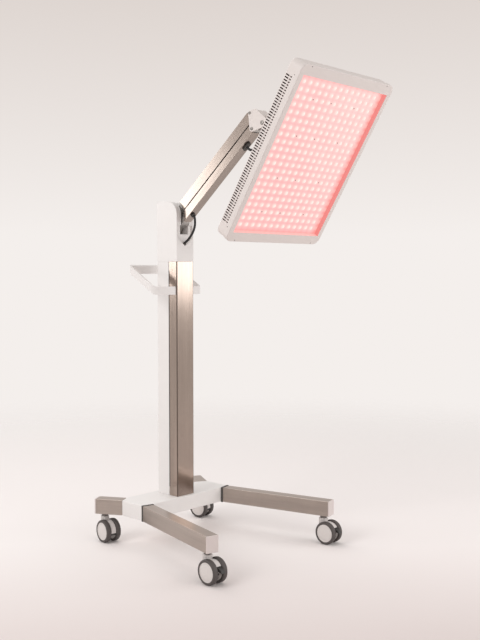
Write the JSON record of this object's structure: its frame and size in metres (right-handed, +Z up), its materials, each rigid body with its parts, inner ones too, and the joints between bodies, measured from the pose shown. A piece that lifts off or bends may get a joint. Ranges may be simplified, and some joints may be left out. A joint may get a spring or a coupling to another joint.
{
  "type": "led light therapy lamp",
  "caption": "Mobile LED light therapy lamp: splayed castor base, column with push handle, balanced parallelogram arm and a tilting rectangular LED panel.",
  "frame": {"origin": "on the floor, under the centre of the whole lamp's box at rest", "axes": "+Z is up, the lamp shines towards -Y and the push handle is at +Y; +X is to the left of someone who stands behind the handle and looks along -Y"},
  "size_m": [0.6008, 0.89, 1.4732],
  "materials": {
    "white_paint": "smooth semi-gloss powder coat",
    "stainless_steel": "brushed along its length",
    "dark_rubber": "matt",
    "white_cap": "smooth satin",
    "zinc_plate": "satin zinc plate",
    "castor_plastic": "light grey moulded",
    "castor_tyre": "matt grey-brown tread round a light grey hub",
    "pedal_plastic": "dark moulded",
    "panel_paint": "fine semi-matt light grey coat",
    "led_board": "red glow with bright warm emitters",
    "aluminium": "mill finish",
    "driver_plastic": "matt black",
    "cable_black": "matt black jacket"
  },
  "bodies": {
    "stand": {"base_crossbar": "white_paint", "column_post": "white_paint", "column_cover": "stainless_steel", "column_head": "white_paint", "head_cable_gland": "dark_rubber", "push_handle": "stainless_steel", "handle_screw_right": "zinc_plate", "handle_screw_left": "zinc_plate", "head_pivot_pin_upper": "zinc_plate", "head_pivot_pin_lower": "zinc_plate", "front_leg_right_collar": "dark_rubber", "front_leg_right_tube": "stainless_steel", "front_leg_right_cap": "white_cap", "rear_leg_right_tube": "stainless_steel", "rear_leg_right_cap": "white_cap", "front_leg_left_collar": "dark_rubber", "front_leg_left_tube": "stainless_steel", "front_leg_left_cap": "white_cap", "rear_leg_left_tube": "stainless_steel", "rear_leg_left_cap": "white_cap", "front_castor_right_stem": "zinc_plate", "front_castor_left_stem": "zinc_plate", "rear_castor_right_stem": "zinc_plate", "rear_castor_left_stem": "zinc_plate", "arm_cable": "cable_black"},
    "upper_arm": {"upper_link_bar": "zinc_plate", "balance_spring": "zinc_plate", "upper_arm_cover": "stainless_steel"},
    "lower_arm": {"lower_link_bar": "zinc_plate", "lower_arm_cover": "stainless_steel", "arm_grommet_lower": "dark_rubber", "arm_grommet_upper": "dark_rubber", "panel_cable": "cable_black"},
    "knuckle": {"knuckle_bracket": "panel_paint", "knuckle_pin_upper": "zinc_plate", "knuckle_pin_lower": "zinc_plate", "tilt_pin": "zinc_plate"},
    "panel": {"tilt_bracket": "white_paint", "panel_housing": "panel_paint", "panel_frame": "panel_paint", "led_board": "led_board", "heat_spreader": "aluminium", "led_driver": "driver_plastic", "panel_cable_gland": "dark_rubber", "vent_rail_right": "panel_paint", "vent_rail_left": "panel_paint"},
    "front_castor_right_swivel": {"front_castor_right_hood": "castor_plastic"},
    "front_castor_right_right_wheel": {"front_castor_right_right_wheel": "castor_tyre"},
    "front_castor_right_left_wheel": {"front_castor_right_left_wheel": "castor_tyre"},
    "front_castor_right_pedal": {"front_castor_right_brake_pedal": "pedal_plastic"},
    "front_castor_left_swivel": {"front_castor_left_hood": "castor_plastic"},
    "front_castor_left_right_wheel": {"front_castor_left_right_wheel": "castor_tyre"},
    "front_castor_left_left_wheel": {"front_castor_left_left_wheel": "castor_tyre"},
    "front_castor_left_pedal": {"front_castor_left_brake_pedal": "pedal_plastic"},
    "rear_castor_right_swivel": {"rear_castor_right_hood": "castor_plastic"},
    "rear_castor_right_right_wheel": {"rear_castor_right_right_wheel": "castor_tyre"},
    "rear_castor_right_left_wheel": {"rear_castor_right_left_wheel": "castor_tyre"},
    "rear_castor_left_swivel": {"rear_castor_left_hood": "castor_plastic"},
    "rear_castor_left_right_wheel": {"rear_castor_left_right_wheel": "castor_tyre"},
    "rear_castor_left_left_wheel": {"rear_castor_left_left_wheel": "castor_tyre"}
  },
  "joints": [
    {"name": "arm_lift", "type": "hinge", "parent": "stand", "child": "lower_arm", "pos_m": [0, 0.27912, 1.035], "axis": [1, 0, 0], "range_deg": [-6, 48], "deforming": ["arm_cable"]},
    {"name": "upper_link_swing", "type": "hinge", "parent": "stand", "child": "upper_arm", "pos_m": [0, 0.28712, 1.084], "axis": [1, 0, 0], "range_deg": [-6, 48]},
    {"name": "knuckle_level", "type": "hinge", "parent": "lower_arm", "child": "knuckle", "pos_m": [0, -0.08092, 1.33711], "axis": [1, 0, 0], "range_deg": [-48, 6]},
    {"name": "panel_tilt", "type": "hinge", "parent": "knuckle", "child": "panel", "pos_m": [0, -0.12392, 1.35111], "axis": [1, 0, 0], "range_deg": [-50, 30], "deforming": ["panel_cable"]},
    {"name": "front_castor_right_swivel_turn", "type": "hinge", "parent": "stand", "child": "front_castor_right_swivel", "pos_m": [-0.27073, -0.13728, 0], "axis": [0, 0, 1], "continuous": true},
    {"name": "front_castor_right_right_wheel_roll", "type": "hinge", "parent": "front_castor_right_swivel", "child": "front_castor_right_right_wheel", "pos_m": [-0.27188, -0.15925, 0.0375], "axis": [0.9986, -0.0523, 0], "continuous": true},
    {"name": "front_castor_right_left_wheel_roll", "type": "hinge", "parent": "front_castor_right_swivel", "child": "front_castor_right_left_wheel", "pos_m": [-0.27188, -0.15925, 0.0375], "axis": [0.9986, -0.0523, 0], "continuous": true},
    {"name": "front_castor_right_pedal_press", "type": "hinge", "parent": "front_castor_right_swivel", "child": "front_castor_right_pedal", "pos_m": [-0.27298, -0.18022, 0.0515], "axis": [0.9986, -0.0523, 0], "range_deg": [0, 14]},
    {"name": "front_castor_left_swivel_turn", "type": "hinge", "parent": "stand", "child": "front_castor_left_swivel", "pos_m": [0.27073, -0.13728, 0], "axis": [0, 0, 1], "continuous": true},
    {"name": "front_castor_left_right_wheel_roll", "type": "hinge", "parent": "front_castor_left_swivel", "child": "front_castor_left_right_wheel", "pos_m": [0.27188, -0.15925, 0.0375], "axis": [0.9986, 0.0523, 0], "continuous": true},
    {"name": "front_castor_left_left_wheel_roll", "type": "hinge", "parent": "front_castor_left_swivel", "child": "front_castor_left_left_wheel", "pos_m": [0.27188, -0.15925, 0.0375], "axis": [0.9986, 0.0523, 0], "continuous": true},
    {"name": "front_castor_left_pedal_press", "type": "hinge", "parent": "front_castor_left_swivel", "child": "front_castor_left_pedal", "pos_m": [0.27298, -0.18022, 0.0515], "axis": [0.9986, 0.0523, 0], "range_deg": [0, 14]},
    {"name": "rear_castor_right_swivel_turn", "type": "hinge", "parent": "stand", "child": "rear_castor_right_swivel", "pos_m": [-0.21418, 0.40988, 0], "axis": [0, 0, 1], "continuous": true},
    {"name": "rear_castor_right_right_wheel_roll", "type": "hinge", "parent": "rear_castor_right_swivel", "child": "rear_castor_right_right_wheel", "pos_m": [-0.21686, 0.38804, 0.0375], "axis": [0.9925, -0.1219, 0], "continuous": true},
    {"name": "rear_castor_right_left_wheel_roll", "type": "hinge", "parent": "rear_castor_right_swivel", "child": "rear_castor_right_left_wheel", "pos_m": [-0.21686, 0.38804, 0.0375], "axis": [0.9925, -0.1219, 0], "continuous": true},
    {"name": "rear_castor_left_swivel_turn", "type": "hinge", "parent": "stand", "child": "rear_castor_left_swivel", "pos_m": [0.21418, 0.40988, 0], "axis": [0, 0, 1], "continuous": true},
    {"name": "rear_castor_left_right_wheel_roll", "type": "hinge", "parent": "rear_castor_left_swivel", "child": "rear_castor_left_right_wheel", "pos_m": [0.21686, 0.38804, 0.0375], "axis": [0.9925, 0.1219, 0], "continuous": true},
    {"name": "rear_castor_left_left_wheel_roll", "type": "hinge", "parent": "rear_castor_left_swivel", "child": "rear_castor_left_left_wheel", "pos_m": [0.21686, 0.38804, 0.0375], "axis": [0.9925, 0.1219, 0], "continuous": true}
  ],
  "couplings": [
    {"joint": "upper_link_swing", "follows": "arm_lift", "ratio": 1},
    {"joint": "knuckle_level", "follows": "arm_lift", "ratio": -1}
  ]
}
